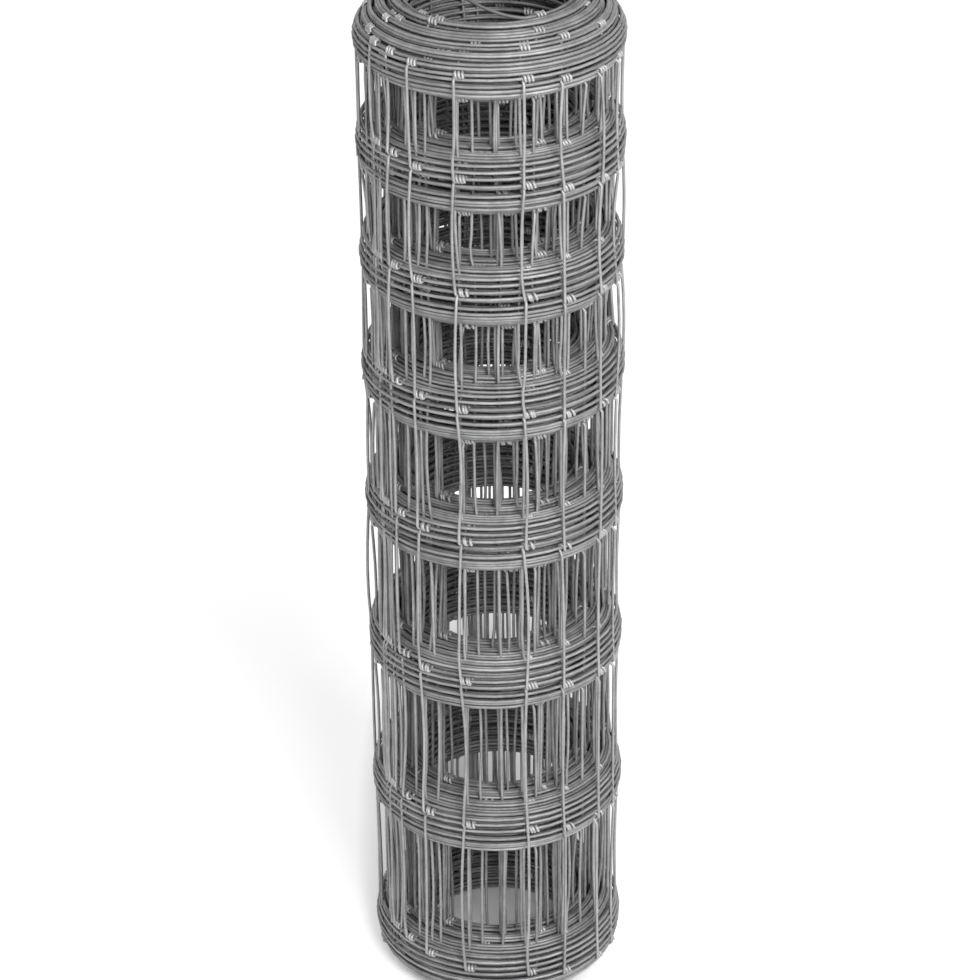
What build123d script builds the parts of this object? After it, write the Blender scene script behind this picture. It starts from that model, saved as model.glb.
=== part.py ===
"""A roll of hinge joint wire fencing, standing on its end.

The fence is a sheet of eight horizontal line wires, which sit closer together towards one edge,
tied by upright stay wires. Rolled up, each line wire piles its turns into a thick ring, and the
eight rings are joined only by the stays, so the wall between the rings is an open cage round a
clear bore. The roll is one turned solid, with the cage of stays run through its rings.

Millimetres, +Z up, with the origin in the middle of the lower end.
"""

import math
import os

from build123d import *

# The fence: gaps between neighbouring line wires, from the lower end of the roll to the upper
line_wire_gaps = (142, 136, 127, 115, 98, 92, 90)
wire_diameter = 2.5

# The roll, and the pile of turns that each line wire makes in it. The side of a pile is rounded,
# from the flat radius at its two ends to the outer radius, because its outer turns reach less
# high and less low than its inner ones.
bore_radius = 64
flat_radius = 94
outer_radius = 106
ring_height = 54

# Turns that show on a ring's side, as ridges with hollows between them. The outer turns of the
# uppermost ring lie lower, so it has fewer, and its upper end slopes up from there to the bore.
side_turns = 3
uppermost_side_turns = 2
side_hollow_depth = 5

# Turns that show on the two ends of the roll, with a V groove between each two
lower_end_turns = 4
upper_end_turns = 4
end_groove_width = 2.6
end_groove_depth = 1.8

# Stays that show in the cage, on circles from the outer turns to the inner ones
stays_on_circles = (7, 5, 3)
stay_sides = 4
stay_edge_distance = 5
stay_circle_twist = 17

ring_bottoms = [0]
for gap in line_wire_gaps:
    ring_bottoms.append(ring_bottoms[-1] + gap)


def side_radius(height):
    """Radius of a ring's rounded side at a height above its lower end."""
    from_middle = 2 * height / ring_height - 1
    return outer_radius - (outer_radius - flat_radius) * from_middle**2


def ring_side(bottom, turns):
    """The side of a ring from its lower end upwards, a ridge for each turn."""
    points = []
    for place in range(2 * turns + 1):
        height = place * ring_height / (2 * side_turns)
        between_turns = place % 2 == 0 and 0 < place < 2 * turns
        hollow = side_hollow_depth if between_turns else 0
        points.append((side_radius(height) - hollow, bottom + height))
    return points


def end_grooves(start, end, turns, inward):
    """V grooves between the turns on an end of the roll, which runs straight from start to end."""
    (start_radius, start_height), (end_radius, end_height) = start, end
    pitch = (end_radius - start_radius) / turns
    slope = (end_height - start_height) / (end_radius - start_radius)
    half_width = math.copysign(end_groove_width / 2, pitch)
    points = []
    for turn in range(1, turns):
        for step, depth in ((-half_width, 0), (0, end_groove_depth), (half_width, 0)):
            radius = start_radius + turn * pitch + step
            height = start_height + slope * (radius - start_radius)
            points.append((radius, height + inward * depth))
    return points


def ring_section(bottom, lowest, uppermost):
    """The closed outline of one ring, as (radius, height) points."""
    inner_bottom = (bore_radius, bottom)
    inner_top = (bore_radius, bottom + ring_height)
    side = ring_side(bottom, uppermost_side_turns if uppermost else side_turns)
    lower_end = end_grooves(inner_bottom, side[0], lower_end_turns, 1) if lowest else []
    upper_end = end_grooves(side[-1], inner_top, upper_end_turns, -1) if uppermost else []
    return [inner_bottom, *lower_end, *side, *upper_end, inner_top]


with BuildPart() as fence_roll:
    with BuildSketch(Plane.XZ):
        for bottom in ring_bottoms:
            lowest = bottom == ring_bottoms[0]
            uppermost = bottom == ring_bottoms[-1]
            with BuildLine():
                Polyline(*ring_section(bottom, lowest, uppermost), close=True)
            make_face()
    revolve(axis=Axis.Z)

    # The stays start and end inside the outermost rings, and stand clear of the rounded sides
    outermost_circle = flat_radius - stay_edge_distance
    innermost_circle = bore_radius + stay_edge_distance
    circle_step = (outermost_circle - innermost_circle) / (len(stays_on_circles) - 1)
    with BuildSketch(Plane.XY.offset(ring_height / 2)):
        for circle, count in enumerate(stays_on_circles):
            radius = outermost_circle - circle * circle_step
            with PolarLocations(radius, count, start_angle=circle * stay_circle_twist):
                RegularPolygon(wire_diameter / 2, stay_sides)
    extrude(amount=ring_bottoms[-1])

fence_roll.part.label = "fence_roll"

os.makedirs("parts", exist_ok=True)
export_step(fence_roll.part, "parts/fence_roll.step")
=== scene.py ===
"""The roll of wire fencing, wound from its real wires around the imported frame.

Eight line wires are wound layer upon layer, like thread on a bobbin, and piled into rings. Between
each two of them run the stays, short upright wires whose ends wrap round the line wires in hinge
joint knots. All of it follows one path, the sheet of fencing as it is rolled up.
"""

import bisect
import math
import random

import bmesh
import bpy
from bpy.props import FloatProperty, FloatVectorProperty, IntProperty, PointerProperty
from mathutils import Matrix, Vector, geometry, noise


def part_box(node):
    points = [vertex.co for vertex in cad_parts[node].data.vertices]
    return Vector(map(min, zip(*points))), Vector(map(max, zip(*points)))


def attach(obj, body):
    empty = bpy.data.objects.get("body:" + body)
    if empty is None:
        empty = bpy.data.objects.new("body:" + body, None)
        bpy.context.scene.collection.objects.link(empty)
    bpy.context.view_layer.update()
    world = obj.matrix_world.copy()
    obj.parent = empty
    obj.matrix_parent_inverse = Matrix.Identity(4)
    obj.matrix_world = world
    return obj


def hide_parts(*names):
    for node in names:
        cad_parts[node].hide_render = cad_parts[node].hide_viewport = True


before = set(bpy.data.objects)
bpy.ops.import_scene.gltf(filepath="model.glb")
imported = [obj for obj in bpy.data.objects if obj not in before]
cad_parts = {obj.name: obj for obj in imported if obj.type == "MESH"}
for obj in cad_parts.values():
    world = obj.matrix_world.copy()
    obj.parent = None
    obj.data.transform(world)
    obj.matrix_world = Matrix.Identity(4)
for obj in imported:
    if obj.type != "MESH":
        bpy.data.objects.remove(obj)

bl_info = {
    "name": "Wire Fencing Roll",
    "version": (1, 0, 0),
    "blender": (4, 5, 0),
    "location": "3D View > Sidebar > Fencing",
    "description": "Winds a roll of hinge joint wire fencing out of its line wires and stays",
    "category": "Add Mesh",
}

ROLL_NODE = "fence_roll"
ROLL_LOW, ROLL_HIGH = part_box(ROLL_NODE)
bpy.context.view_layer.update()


class RollSizes(bpy.types.PropertyGroup):
    """Sizes of the sheet of fencing and of the way it is rolled up"""

    line_wire_gaps: FloatVectorProperty(
        name="Line Wire Gaps",
        description="Gaps between neighbouring line wires, from the lower end of the roll to the upper",
        size=7,
        default=(0.142, 0.136, 0.127, 0.115, 0.098, 0.092, 0.090),
        unit="LENGTH",
    )
    wire_diameter: FloatProperty(
        name="Wire Diameter",
        description="Thickness of the line wires and the stays",
        default=0.0025,
        unit="LENGTH",
    )
    outer_radius: FloatProperty(
        name="Outer Radius",
        description="Radius of the roll over the knots of its outermost turns",
        default=ROLL_HIGH.x,
        unit="LENGTH",
    )
    bore_radius: FloatProperty(
        name="Bore Radius",
        description="Radius of the clear way through the middle of the roll",
        default=0.064,
        unit="LENGTH",
    )
    turns: FloatProperty(
        name="Turns", description="Times that the sheet goes round the roll", default=95.77
    )
    layers: IntProperty(
        name="Layers", description="Layers of turns from the bore to the outside", default=8
    )
    edge_turns: FloatProperty(
        name="Edge Turns",
        description="Turns that lie at the edge of a ring while the sheet moves out to the next layer",
        default=2.0,
    )
    ring_height: FloatProperty(
        name="Ring Height",
        description="Height of each ring of turns at the bore",
        default=0.0565,
        unit="LENGTH",
    )
    lower_rise: FloatProperty(
        name="Lower Rise",
        description="How far the lower edge of a ring rises from the bore to the outside",
        default=0.009,
        unit="LENGTH",
    )
    upper_drop: FloatProperty(
        name="Upper Drop",
        description="How far the upper edge of a ring drops from the bore to the outside",
        default=0.0085,
        unit="LENGTH",
    )
    uppermost_drop: FloatProperty(
        name="Uppermost Drop",
        description="How much further the upper edge of the uppermost ring drops",
        default=0.011,
        unit="LENGTH",
    )
    inner_sag: FloatVectorProperty(
        name="Inner Sag",
        description="How far the innermost turns hang below each ring, from the lowest ring up",
        size=8,
        default=(0, 0, 0, 0.006, 0.010, 0.008, 0.006, 0.005),
        unit="LENGTH",
    )
    side_fall: FloatProperty(
        name="Side Fall",
        description="How far the lowest and highest turns of the outside lie inside its middle ones",
        default=0.004,
        unit="LENGTH",
    )
    edge_crowding: FloatProperty(
        name="Edge Crowding",
        description="How much closer the turns lie at the edges of a ring than halfway up it",
        default=0.45,
        subtype="FACTOR",
    )
    stay_spacing: FloatProperty(
        name="Stay Spacing",
        description="Distance between neighbouring stays along the sheet",
        default=0.300,
        unit="LENGTH",
    )
    knot_wraps: FloatProperty(
        name="Knot Wraps",
        description="Times that the end of a stay goes round its line wire",
        default=1.6,
    )
    edge_knot_wraps: FloatProperty(
        name="Edge Knot Wraps",
        description="Times that it goes round the two outermost line wires of the sheet",
        default=2.6,
    )
    unevenness: FloatProperty(
        name="Unevenness",
        description="How far the turns wander from where they should lie",
        default=0.0012,
        unit="LENGTH",
    )
    inner_end_bearing: FloatProperty(
        name="Inner End Bearing",
        description="Direction from the axis in which the sheet's inner end lies",
        default=math.radians(-66),
        subtype="ANGLE",
    )
    winding_seed: IntProperty(
        name="Winding Seed", description="Number that sets how the turns wander", default=7
    )
    stay_seed: IntProperty(
        name="Stay Seed",
        description="Number that sets the chance places and bends of the stays",
        default=25514,
    )


class WireFinish(bpy.types.PropertyGroup):
    """Colours and gloss of the galvanised wire"""

    bright_zinc: FloatVectorProperty(
        name="Bright Zinc",
        description="Colour of the clean zinc",
        size=3,
        default=(0.44, 0.44, 0.44),
        subtype="COLOR",
    )
    dull_zinc: FloatVectorProperty(
        name="Dull Zinc",
        description="Colour of the zinc where it has weathered",
        size=3,
        default=(0.14, 0.14, 0.14),
        subtype="COLOR",
    )
    bright_roughness: FloatProperty(
        name="Bright Roughness",
        description="Roughness of the clean zinc",
        default=0.56,
        subtype="FACTOR",
    )
    dull_roughness: FloatProperty(
        name="Dull Roughness",
        description="Roughness of the weathered zinc",
        default=0.75,
        subtype="FACTOR",
    )
    metallic: FloatProperty(
        name="Metallic",
        description="How far the zinc shines as bare metal does",
        default=0.6,
        subtype="FACTOR",
    )
    patch_size: FloatProperty(
        name="Patch Size",
        description="Size of the clean and the weathered patches",
        default=0.02,
        unit="LENGTH",
    )
    # Weight of each wire's tone attribute, which also holds painted shade and painted highlights
    own_tone_and_painted_light: FloatProperty(
        name="Own Tone",
        description="How much each wire's own tone counts beside its patches",
        default=0.55,
        subtype="FACTOR",
    )


class StageLook(bpy.types.PropertyGroup):
    """Camera, light and floor"""

    lens: FloatProperty(
        name="Lens", description="Focal length of the camera, in millimetres", default=134.3
    )
    camera_distance: FloatProperty(
        name="Camera Distance",
        description="Level distance from the roll's axis to the camera",
        default=2.570,
        unit="LENGTH",
    )
    camera_height: FloatProperty(
        name="Camera Height",
        description="Height of the camera over the floor",
        default=1.827,
        unit="LENGTH",
    )
    camera_aside: FloatProperty(
        name="Camera Aside",
        description="How far the camera stands to the right of the roll's axis",
        default=-0.0034,
        unit="LENGTH",
    )
    camera_pitch: FloatProperty(
        name="Camera Pitch",
        description="How far the camera looks down",
        default=math.radians(28.51),
        subtype="ANGLE",
    )
    camera_roll: FloatProperty(
        name="Camera Roll",
        description="How far the camera leans about its line of sight",
        default=math.radians(-0.623),
        subtype="ANGLE",
    )
    world_light: FloatProperty(
        name="World Light", description="Strength of the even light from all sides", default=0.33
    )
    lamp_power: FloatProperty(
        name="Lamp Power", description="Power of the large soft lamp, in watts", default=100.0
    )
    lamp_place: FloatVectorProperty(
        name="Lamp Place",
        description="Place of the lamp's middle",
        size=3,
        default=(1.0, -2.3, 2.2),
        subtype="TRANSLATION",
    )
    lamp_size: FloatProperty(
        name="Lamp Size", description="Width and height of the lamp", default=1.4, unit="LENGTH"
    )
    floor_radius: FloatProperty(
        name="Floor Radius", description="Radius of the floor", default=12.0, unit="LENGTH"
    )
    floor_colour: FloatVectorProperty(
        name="Floor Colour",
        description="Colour of the floor, which shows in the roll and close to it",
        size=3,
        default=(0.84, 0.84, 0.84),
        subtype="COLOR",
    )
    floor_glow: FloatProperty(
        name="Floor Glow",
        description="Strength of the glow that makes the floor white to the eye away from the roll",
        default=0.62,
    )


def drift(turn, rate, row, column):
    """A smooth chance number around 0, within 1 either way, that changes along the turns.

    It changes faster at a higher rate. The row and the column keep the layers and the line wires
    from drifting alike.
    """
    return noise.noise(Vector((turn * rate, row, column)))


class SheetPath:
    """The path of the sheet as it is rolled up, followed in turns from its inner end.

    The sheet is wound up and down in layers, like thread on a bobbin. Between two layers it stays
    at the edge of the ring while it moves out.
    """

    # How far each line wire wanders by itself, as shares of the unevenness
    own_height_wander = 1.2
    own_radius_wander = 0.5
    # Radius of the roll in the noise that sets how its turns are out of round
    out_of_round_radius = 1.3

    # Loose inner end, as offsets clockwise, inward and up from where it leaves the wall
    loose_tip = (0.028, 0.085, 0.005)
    loose_tip_handle = (0.031, 0.046, 0.002)
    loose_start_handle = (0.016, 0.006, 0)

    def __init__(self, sizes):
        self.sizes = sizes
        self.bases = [ROLL_LOW.z]
        for gap in sizes.line_wire_gaps:
            self.bases.append(self.bases[-1] + gap)
        self.uppermost = len(self.bases) - 1
        # Over a knot lie half the line wire and the whole stay
        self.knot_radius = 1.5 * sizes.wire_diameter

        outlines = [self.layer_outline(layer / (sizes.layers - 1)) for layer in range(sizes.layers)]
        heights = [top - bottom for bottom, top in outlines]
        climbing_turns = sizes.turns - (sizes.layers - 1) * sizes.edge_turns
        self.climbs = [height / sum(heights) * climbing_turns for height in heights]
        self.starts = [0]
        for climb in self.climbs[:-1]:
            self.starts.append(self.starts[-1] + climb + sizes.edge_turns)

    def layer_outline(self, depth):
        """The lowest and highest places of a line wire at a depth from 0 at the bore to 1 outside."""
        sizes = self.sizes
        bottom = sizes.wire_diameter / 2 + sizes.lower_rise * depth**2
        top = sizes.ring_height - sizes.wire_diameter / 2 - sizes.upper_drop * depth**2
        return bottom, top

    def progress(self, turn):
        """Where the sheet is in a ring: its layer, its depth from the bore and its share of the way up."""
        sizes = self.sizes
        layer = max(bisect.bisect_right(self.starts, turn) - 1, 0)
        wound = turn - self.starts[layer]
        climbed = min(wound / self.climbs[layer], 1)
        moved_out = max(0, wound - self.climbs[layer]) / sizes.edge_turns
        depth = (layer + moved_out) / (sizes.layers - 1)
        is_going_up = (sizes.layers - layer) % 2 == 1
        share = climbed if is_going_up else 1 - climbed
        share -= sizes.edge_crowding * math.sin(2 * math.pi * share) / (2 * math.pi)
        return layer, depth, share

    def height(self, number, turn):
        """Height of a line wire over the lower end of its ring."""
        sizes = self.sizes
        layer, depth, share = self.progress(turn)
        bottom, top = self.layer_outline(depth)
        bottom -= sizes.inner_sag[number] * (1 - depth)
        if number == self.uppermost:
            top -= sizes.uppermost_drop * depth**2
        together = drift(turn, rate=1.3, row=7.1 * layer, column=sizes.winding_seed)
        alone = drift(turn, rate=1.7, row=3.7 * layer, column=sizes.winding_seed + 10 * number)
        wander = sizes.unevenness * (together + self.own_height_wander * alone)
        height = bottom + share * (top - bottom) + wander

        # The lowest line wire lies higher by the knots that it stands on
        return max(self.knot_radius, height) if number == 0 else height

    def radius(self, number, turn):
        """Distance of a line wire from the axis."""
        sizes = self.sizes
        _, depth, share = self.progress(turn)
        innermost = sizes.bore_radius + sizes.wire_diameter / 2
        outermost = sizes.outer_radius - self.knot_radius
        radius = innermost + depth * (outermost - innermost)
        radius -= sizes.side_fall * depth * (2 * share - 1) ** 2
        alone = drift(turn, rate=2.9, row=11.3, column=4.0 * number)
        place_in_noise = self.way(turn) * self.out_of_round_radius + Vector((0, 0, 2.7 * number))
        out_of_round = depth * noise.noise(place_in_noise)
        return radius + sizes.unevenness * (self.own_radius_wander * alone + out_of_round)

    def way(self, turn):
        """The level direction from the axis in which the sheet is after a number of turns."""
        bearing = self.sizes.inner_end_bearing + turn * 2 * math.pi
        return Vector((math.cos(bearing), math.sin(bearing), 0))

    def point(self, number, turn):
        """The point where a line wire, numbered from the lowest, is after a number of turns."""
        height = self.bases[number] + self.height(number, turn)
        return self.way(turn) * self.radius(number, turn) + Vector((0, 0, height))

    def loose_end(self, number, steps):
        """Points of an inner end that has sprung off the wall and across the bore, tip first."""
        start = self.point(number, 0)
        inward = Vector((-start.x, -start.y, 0)).normalized()
        clockwise = Vector((-inward.y, inward.x, 0))
        curve = [
            start + clockwise * aside + inward * across + Vector((0, 0, up))
            for aside, across, up in (self.loose_tip, self.loose_tip_handle, self.loose_start_handle)
        ]
        return geometry.interpolate_bezier(*curve, start, steps + 1)[:-1]


def straight_wire(sides, segments, diameter):
    """A bmesh of one closed wire standing on the origin, with a ring of vertices at each whole height."""
    rod = bmesh.new()
    bmesh.ops.create_cone(
        rod,
        cap_ends=True,
        cap_tris=False,
        segments=sides,
        radius1=diameter / 2,
        radius2=diameter / 2,
        depth=segments,
    )
    bmesh.ops.translate(rod, verts=rod.verts, vec=(0, 0, segments / 2))
    long_edges = [edge for edge in rod.edges if abs(edge.verts[0].co.z - edge.verts[1].co.z) > segments / 2]
    bmesh.ops.subdivide_edges(rod, edges=long_edges, cuts=segments - 1)
    return rod


def bend_wire(verts, points):
    """Bends straight wire along points, one for each of its rings, without twisting it."""
    frames = []
    side = None
    for index, point in enumerate(points):
        ahead = points[min(index + 1, len(points) - 1)] - points[max(index - 1, 0)]
        ahead.normalize()
        side = ahead.orthogonal() if side is None else side - ahead * side.dot(ahead)
        side.normalize()
        frames.append((point, side, ahead.cross(side)))
    for vert in verts:
        point, across, along = frames[round(vert.co.z)]
        vert.co = point + across * vert.co.x + along * vert.co.y


def finish_piece(name, shape, material):
    """Makes a bmesh of wires an object, smooth along the wires, which stands for the roll."""
    for face in shape.faces:
        face.smooth = True
    for edge in shape.edges:
        edge.smooth = all(len(face.verts) == 4 for face in edge.link_faces)
    mesh = bpy.data.meshes.new(name)
    shape.to_mesh(mesh)
    shape.free()
    mesh.materials.append(material)
    piece = bpy.data.objects.new(name, mesh)
    bpy.context.scene.collection.objects.link(piece)
    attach(piece, "root")
    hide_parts(ROLL_NODE)


def zinc_mottle_group():
    """The node group that mottles zinc: how weathered each spot of a wire is, and its fine grain."""
    group = bpy.data.node_groups.new("zinc mottle", "ShaderNodeTree")
    group.interface.new_socket("Patch Size", in_out="INPUT", socket_type="NodeSocketFloat")
    group.interface.new_socket("Weathering", in_out="OUTPUT", socket_type="NodeSocketFloat")
    group.interface.new_socket("Grain", in_out="OUTPUT", socket_type="NodeSocketFloat")
    nodes, links = group.nodes, group.links
    entry = nodes.new("NodeGroupInput")
    leave = nodes.new("NodeGroupOutput")
    place = nodes.new("ShaderNodeTexCoord")

    # Soft patches, spread over the whole range from clean to weathered
    patch_scale = nodes.new("ShaderNodeMath")
    patch_scale.operation = "DIVIDE"
    patch_scale.inputs[0].default_value = 1
    links.new(entry.outputs["Patch Size"], patch_scale.inputs[1])
    patches = nodes.new("ShaderNodeTexNoise")
    patches.inputs["Detail"].default_value = 5
    patches.inputs["Roughness"].default_value = 0.65
    links.new(place.outputs["Object"], patches.inputs["Vector"])
    links.new(patch_scale.outputs[0], patches.inputs["Scale"])
    spread = nodes.new("ShaderNodeMapRange")
    spread.inputs["From Min"].default_value = 0.36
    spread.inputs["From Max"].default_value = 0.64
    links.new(patches.outputs["Fac"], spread.inputs["Value"])

    # Crystals of zinc, between 2 and 3 mm across, each with its own tone
    crystals = nodes.new("ShaderNodeTexVoronoi")
    crystals.inputs["Scale"].default_value = 420
    links.new(place.outputs["Object"], crystals.inputs["Vector"])
    crystal_tone = nodes.new("ShaderNodeSeparateColor")
    links.new(crystals.outputs["Color"], crystal_tone.inputs["Color"])
    blend = nodes.new("ShaderNodeMix")
    blend.data_type = "FLOAT"
    blend.inputs["Factor"].default_value = 0.3
    links.new(spread.outputs["Result"], blend.inputs["A"])
    links.new(crystal_tone.outputs["Red"], blend.inputs["B"])
    links.new(blend.outputs["Result"], leave.inputs["Weathering"])

    grain = nodes.new("ShaderNodeTexNoise")
    grain.inputs["Scale"].default_value = 1100
    grain.inputs["Detail"].default_value = 3
    links.new(place.outputs["Object"], grain.inputs["Vector"])
    links.new(grain.outputs["Fac"], leave.inputs["Grain"])
    return group


def galvanised_wire_material(finish):
    """Weathered zinc: bright and dull patches, each wire with its own tone, and a fine rough grain. The
    tone of each wire also holds painted shade on the inner turns and painted highlights on the knots.
    """
    name = "galvanised wire"
    if name in bpy.data.materials:
        return bpy.data.materials[name]
    material = bpy.data.materials.new(name)
    material.use_nodes = True
    nodes, links = material.node_tree.nodes, material.node_tree.links
    shader = nodes["Principled BSDF"]
    shader.inputs["Metallic"].default_value = finish.metallic

    mottle = nodes.new("ShaderNodeGroup")
    mottle.node_tree = zinc_mottle_group()
    mottle.inputs["Patch Size"].default_value = finish.patch_size
    # The tone attribute: each wire's own tone, with painted shade on the inner turns and painted highlights
    # on the knots
    own_tone_and_painted_light = nodes.new("ShaderNodeAttribute")
    own_tone_and_painted_light.attribute_name = "tone"
    weathering_and_painted_light = nodes.new("ShaderNodeMix")
    weathering_and_painted_light.data_type = "FLOAT"
    weathering_and_painted_light.inputs["Factor"].default_value = finish.own_tone_and_painted_light
    links.new(mottle.outputs["Weathering"], weathering_and_painted_light.inputs["A"])
    links.new(own_tone_and_painted_light.outputs["Fac"], weathering_and_painted_light.inputs["B"])

    colour = nodes.new("ShaderNodeMix")
    colour.data_type = "RGBA"
    colour.inputs["A"].default_value = (*finish.bright_zinc, 1)
    colour.inputs["B"].default_value = (*finish.dull_zinc, 1)
    links.new(weathering_and_painted_light.outputs["Result"], colour.inputs["Factor"])
    links.new(colour.outputs["Result"], shader.inputs["Base Color"])

    roughness = nodes.new("ShaderNodeMapRange")
    roughness.inputs["To Min"].default_value = finish.bright_roughness
    roughness.inputs["To Max"].default_value = finish.dull_roughness
    links.new(weathering_and_painted_light.outputs["Result"], roughness.inputs["Value"])
    links.new(roughness.outputs["Result"], shader.inputs["Roughness"])

    bump = nodes.new("ShaderNodeBump")
    bump.inputs["Strength"].default_value = 0.25
    bump.inputs["Distance"].default_value = 0.0002
    links.new(mottle.outputs["Grain"], bump.inputs["Height"])
    links.new(bump.outputs["Normal"], shader.inputs["Normal"])
    return material


class FENCING_OT_line_wires(bpy.types.Operator):
    """Winds the eight line wires, each from the bore out to the sheet's outer end"""

    bl_idname = "fencing.line_wires"
    bl_label = "Line Wires"
    sides = 6
    segments_a_turn = 44
    loose_end_segments = 16

    # Tone from 0 for clean zinc to 1 for weathered, and how far it drifts along each line wire. Its rise
    # from the outside to the bore is painted shade, which darkens the inner turns where the roll's inside
    # lies in shade.
    shaded_bore_tone = 1.0
    outside_tone = 0.45
    tone_drift = 0.9

    def wound_points(self, sheet, number):
        """Points of a line wire, from the bore to the outer end. The uppermost one has a loose end."""
        steps = range(round(sheet.sizes.turns * self.segments_a_turn) + 1)
        points = [sheet.point(number, step / self.segments_a_turn) for step in steps]
        if number == sheet.uppermost:
            points = sheet.loose_end(number, self.loose_end_segments) + points
        return points

    def execute(self, context):
        sizes = context.scene.roll_sizes
        material = galvanised_wire_material(context.scene.wire_finish)
        sheet = SheetPath(sizes)
        for number in range(len(sheet.bases)):
            points = self.wound_points(sheet, number)
            wire = straight_wire(self.sides, len(points) - 1, sizes.wire_diameter)
            tone = wire.verts.layers.float.new("tone")
            for vert in wire.verts:
                turn = vert.co.z / self.segments_a_turn
                # Painted shade: the tone rises towards the bore, so the inner turns come out darker
                depth_shaded_tone = self.shaded_bore_tone + (self.outside_tone - self.shaded_bore_tone) * turn / sizes.turns
                variation = drift(turn, rate=0.9, row=5.0 * number, column=sizes.winding_seed)
                vert[tone] = depth_shaded_tone + self.tone_drift * variation
            bend_wire(wire.verts, points)
            finish_piece(f"line_wire_{number + 1}", wire, material)
        return {"FINISHED"}


class FENCING_OT_stays(bpy.types.Operator):
    """Stands the stays between the line wires and knots both their ends"""

    bl_idname = "fencing.stays"
    bl_label = "Stays"
    sides = 5
    knot_segments = 14
    # Points of a stay's run, as shares of the way down from its upper knot to its lower one
    run_shares = (0.05, 0.16, 0.32, 0.50, 0.68, 0.80, 0.90)

    # Steps along the line wire with each wrap of a knot, in wire diameters
    knot_pitch = 2.1
    edge_knot_pitch = 1.1

    # Turns from the sheet's two ends to the stays next to them
    inner_margin = 0.02
    outer_margin = 0.01

    # Spreads of the chance draws that shift and bend the stays, and their usual bow, which is inward
    spacing_spread = 0.010
    knot_shift_spread = 0.0012
    usual_bow = -0.0010
    bow_spread = 0.0020
    lean_spread = 0.0014
    kink_spread = 0.0014
    # The kink's place and its reach either way, as shares of the way down
    kink_place = 0.84
    kink_reach = 0.2

    # Tone from 0 for clean zinc to 1 for weathered, with each stay's own part at random. Its rise towards
    # the bore is painted shade on the inner turns, and the knots' lower tone is a painted highlight where
    # they catch the light.
    shaded_bore_tone = 0.55
    outside_tone = 0.0
    least_own_tone = -0.15
    most_own_tone = 0.3
    knot_painted_highlight = 0.5

    def knot(self, sizes, centre, outward, along, start, is_edge):
        """Points of a stay's end as it wraps round a line wire and moves along it.

        The angle counts from the outward side, and falls as the wire goes down the outside.
        """
        wraps = sizes.edge_knot_wraps if is_edge else sizes.knot_wraps
        pitch = sizes.wire_diameter * (self.edge_knot_pitch if is_edge else self.knot_pitch)
        points = []
        for step in range(self.knot_segments + 1):
            wrapped = wraps * step / self.knot_segments
            angle = start - wrapped * 2 * math.pi
            around = outward * math.cos(angle) + Vector((0, 0, math.sin(angle)))
            points.append(centre + around * sizes.wire_diameter + along * pitch * wrapped)
        return points

    def run(self, top, bottom, outward, along, chance):
        """Points of a stay between its knots, with a chance bow, lean and kink."""
        bow = chance.gauss(self.usual_bow, self.bow_spread)
        lean = chance.gauss(0, self.lean_spread)
        kink = max(0, chance.gauss(0, self.kink_spread))
        points = []
        for share in self.run_shares:
            swell = math.sin(share * math.pi)
            kinked = max(0, 1 - abs(share - self.kink_place) / self.kink_reach)
            sideways = lean * swell - kink * kinked
            points.append(top.lerp(bottom, share) + along * sideways + outward * bow * swell)
        return points

    def stay_points(self, sheet, span, turn, chance):
        """Points of one stay, from its knot on the upper line wire to its knot on the lower one."""
        sizes = sheet.sizes
        outward = sheet.way(turn)
        along = Vector((-outward.y, outward.x, 0))
        lower = sheet.point(span, turn)
        upper = sheet.point(span + 1, turn) + along * chance.gauss(0, self.knot_shift_spread)
        is_uppermost = span + 1 == sheet.uppermost
        upper_knot = self.knot(sizes, upper, outward, along, math.pi, is_uppermost)
        lower_knot = self.knot(sizes, lower, outward, along, 0, span == 0)

        # Below its upper knot the stay comes out in front of the line wire
        top = upper_knot[0] + outward * 2 * sizes.wire_diameter
        run = self.run(top, lower_knot[0], outward, along, chance)
        return [*reversed(upper_knot), *run, *lower_knot]

    def stay_turns(self, sheet, chance):
        """The places of the stays along the sheet, in turns from its inner end."""
        turns = [self.inner_margin]
        while turns[-1] < sheet.sizes.turns:
            around = 2 * math.pi * sheet.point(0, turns[-1]).xy.length
            spacing = sheet.sizes.stay_spacing + chance.gauss(0, self.spacing_spread)
            turns.append(turns[-1] + spacing / around)
        turns[-1] = sheet.sizes.turns - self.outer_margin
        return turns

    def execute(self, context):
        sizes = context.scene.roll_sizes
        material = galvanised_wire_material(context.scene.wire_finish)
        sheet = SheetPath(sizes)
        chance = random.Random(sizes.stay_seed)
        stay_turns = self.stay_turns(sheet, chance)

        segments = 2 * self.knot_segments + len(self.run_shares) + 1
        rod = straight_wire(self.sides, segments, sizes.wire_diameter)
        straight = bpy.data.meshes.new("straight stay")
        rod.to_mesh(straight)
        rod.free()
        for span in range(len(sizes.line_wire_gaps)):
            stays = bmesh.new()
            tone = stays.verts.layers.float.new("tone")
            for turn in stay_turns:
                first = len(stays.verts)
                stays.from_mesh(straight)
                stays.verts.ensure_lookup_table()
                verts = stays.verts[first:]
                # Painted shade: the tone rises towards the bore, so the inner stays come out darker
                depth_shaded_tone = self.shaded_bore_tone + (self.outside_tone - self.shaded_bore_tone) * turn / sizes.turns
                own_tone_and_painted_light = depth_shaded_tone + chance.uniform(self.least_own_tone, self.most_own_tone)
                for vert in verts:
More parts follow.
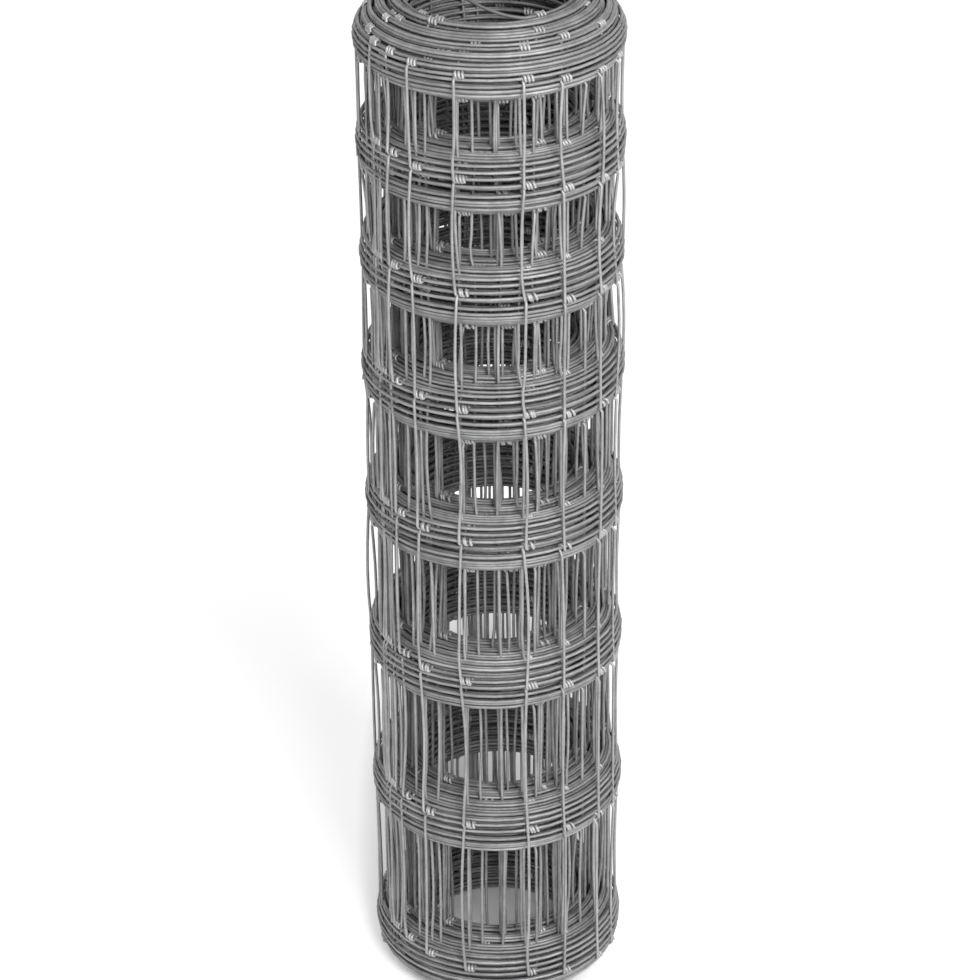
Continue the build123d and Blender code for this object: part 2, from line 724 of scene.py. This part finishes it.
                    # Painted highlight: the knots' tone is lowered so they come out lighter, as where they
                    # catch the light
                    is_knot = not self.knot_segments < vert.co.z < segments - self.knot_segments
                    vert[tone] = own_tone_and_painted_light - self.knot_painted_highlight * is_knot
                bend_wire(verts, self.stay_points(sheet, span, turn, chance))
            finish_piece(f"stays_{span + 1}", stays, material)
        bpy.data.meshes.remove(straight)
        return {"FINISHED"}


def seen_by_eye(nodes, links):
    """A socket that is 1 for what the camera sees, straight or in a gloss or through glass, and else 0."""
    path = nodes.new("ShaderNodeLightPath")
    seen = path.outputs["Is Camera Ray"]
    for ray in ("Is Glossy Ray", "Is Transmission Ray"):
        either = nodes.new("ShaderNodeMath")
        either.operation = "MAXIMUM"
        links.new(seen, either.inputs[0])
        links.new(path.outputs[ray], either.inputs[1])
        seen = either.outputs[0]
    return seen


def pale_floor_material(look):
    """A pale floor that keeps the roll's shadow, with a glow that makes it white away from the roll."""
    material = bpy.data.materials.new("pale floor")
    material.use_nodes = True
    nodes, links = material.node_tree.nodes, material.node_tree.links
    plain = nodes["Principled BSDF"]
    plain.inputs["Base Color"].default_value = (*look.floor_colour, 1)
    plain.inputs["Roughness"].default_value = 0.9

    # The glow is painted light that lifts the floor's real shade to white. It starts at the edge of an oval
    # that is narrower than the roll and reaches far behind it, so that oval is a painted shadow, where the
    # roll's own shadow is left to show.
    place = nodes.new("ShaderNodeTexCoord")
    shadow_oval = nodes.new("ShaderNodeMapping")
    shadow_oval.vector_type = "TEXTURE"
    shadow_oval.inputs["Location"].default_value = (0, 0.2, 0)
    shadow_oval.inputs["Scale"].default_value = (0.75, 3, 1)
    links.new(place.outputs["Object"], shadow_oval.inputs["Vector"])
    distance = nodes.new("ShaderNodeVectorMath")
    distance.operation = "LENGTH"
    links.new(shadow_oval.outputs["Vector"], distance.inputs[0])
    strength = nodes.new("ShaderNodeMapRange")
    strength.inputs["From Min"].default_value = ROLL_HIGH.x * 0.95
    strength.inputs["From Max"].default_value = ROLL_HIGH.x * 1.6
    strength.inputs["To Max"].default_value = look.floor_glow
    links.new(distance.outputs["Value"], strength.inputs["Value"])
    glow = nodes.new("ShaderNodeEmission")
    links.new(strength.outputs["Result"], glow.inputs["Strength"])
    glowing = nodes.new("ShaderNodeAddShader")
    links.new(plain.outputs["BSDF"], glowing.inputs[0])
    links.new(glow.outputs["Emission"], glowing.inputs[1])

    # The glow lights nothing, because only the eye sees it
    mix = nodes.new("ShaderNodeMixShader")
    links.new(seen_by_eye(nodes, links), mix.inputs["Fac"])
    links.new(plain.outputs["BSDF"], mix.inputs[1])
    links.new(glowing.outputs["Shader"], mix.inputs[2])
    links.new(mix.outputs["Shader"], nodes["Material Output"].inputs["Surface"])
    return material


class FENCING_OT_stage(bpy.types.Operator):
    """Sets up the floor, the world, the lamp and the camera"""

    bl_idname = "fencing.stage"
    bl_label = "Stage"

    def add_floor(self, look):
        """A wide floor under the roll."""
        shape = bmesh.new()
        bmesh.ops.create_circle(shape, cap_ends=True, segments=64, radius=look.floor_radius)
        mesh = bpy.data.meshes.new("floor")
        shape.to_mesh(mesh)
        shape.free()
        mesh.materials.append(pale_floor_material(look))
        floor = bpy.data.objects.new("floor", mesh)
        bpy.context.scene.collection.objects.link(floor)

    def set_world(self, look):
        """An even white world, white to the eye and softer as a light."""
        world = bpy.data.worlds.new("white studio")
        bpy.context.scene.world = world
        world.use_nodes = True
        nodes, links = world.node_tree.nodes, world.node_tree.links
        soft = nodes["Background"]
        soft.inputs["Color"].default_value = (1, 1, 1, 1)
        soft.inputs["Strength"].default_value = look.world_light
        white = nodes.new("ShaderNodeBackground")
        white.inputs["Color"].default_value = (1, 1, 1, 1)
        mix = nodes.new("ShaderNodeMixShader")
        links.new(seen_by_eye(nodes, links), mix.inputs["Fac"])
        links.new(soft.outputs["Background"], mix.inputs[1])
        links.new(white.outputs["Background"], mix.inputs[2])
        links.new(mix.outputs["Shader"], nodes["World Output"].inputs["Surface"])

    def add_lamp(self, look):
        """A large square lamp in front of the roll that faces its middle."""
        lamp = bpy.data.lights.new("key lamp", "AREA")
        lamp.shape = "SQUARE"
        lamp.size = look.lamp_size
        lamp.energy = look.lamp_power
        holder = bpy.data.objects.new("key lamp", lamp)
        holder.location = look.lamp_place
        to_middle = Vector((0, 0, ROLL_HIGH.z / 2)) - Vector(look.lamp_place)
        holder.rotation_euler = to_middle.to_track_quat("-Z", "Y").to_euler()
        bpy.context.scene.collection.objects.link(holder)

    def add_camera(self, look):
        """The camera at the photograph's viewing angle."""
        camera = bpy.data.cameras.new("camera")
        camera.lens = look.lens
        camera.clip_start = 0.05
        camera.clip_end = 50
        holder = bpy.data.objects.new("camera", camera)
        upright = Matrix.Rotation(math.pi / 2 - look.camera_pitch, 4, "X")
        lean = Matrix.Rotation(look.camera_roll, 4, "Z")
        place = Matrix.Translation((look.camera_aside, -look.camera_distance, look.camera_height))
        holder.matrix_world = place @ upright @ lean
        bpy.context.scene.collection.objects.link(holder)
        bpy.context.scene.camera = holder

    def execute(self, context):
        look = context.scene.stage_look
        context.scene.view_settings.view_transform = "Standard"
        self.add_floor(look)
        self.set_world(look)
        self.add_lamp(look)
        self.add_camera(look)
        return {"FINISHED"}


class FENCING_PT_roll(bpy.types.Panel):
    """Lists the sizes, the finish, the stage and the steps that make the roll"""

    bl_idname = "FENCING_PT_roll"
    bl_label = "Wire Fencing Roll"
    bl_space_type = "VIEW_3D"
    bl_region_type = "UI"
    bl_category = "Fencing"

    def draw(self, context):
        scene = context.scene
        for group in (scene.roll_sizes, scene.wire_finish, scene.stage_look):
            box = self.layout.box()
            for name in group.__annotations__:
                box.prop(group, name)
        for operator in MAKERS:
            self.layout.operator(operator.bl_idname)


GROUPS = {"roll_sizes": RollSizes, "wire_finish": WireFinish, "stage_look": StageLook}
MAKERS = (FENCING_OT_line_wires, FENCING_OT_stays, FENCING_OT_stage)


def register():
    for name, group in GROUPS.items():
        bpy.utils.register_class(group)
        setattr(bpy.types.Scene, name, PointerProperty(type=group))
    for maker in (*MAKERS, FENCING_PT_roll):
        bpy.utils.register_class(maker)


def unregister():
    for maker in (FENCING_PT_roll, *reversed(MAKERS)):
        bpy.utils.unregister_class(maker)
    for name, group in reversed(GROUPS.items()):
        delattr(bpy.types.Scene, name)
        bpy.utils.unregister_class(group)


def main():
    register()
    bpy.ops.fencing.line_wires()
    bpy.ops.fencing.stays()
    bpy.ops.fencing.stage()


if __name__ == "__main__":
    main()
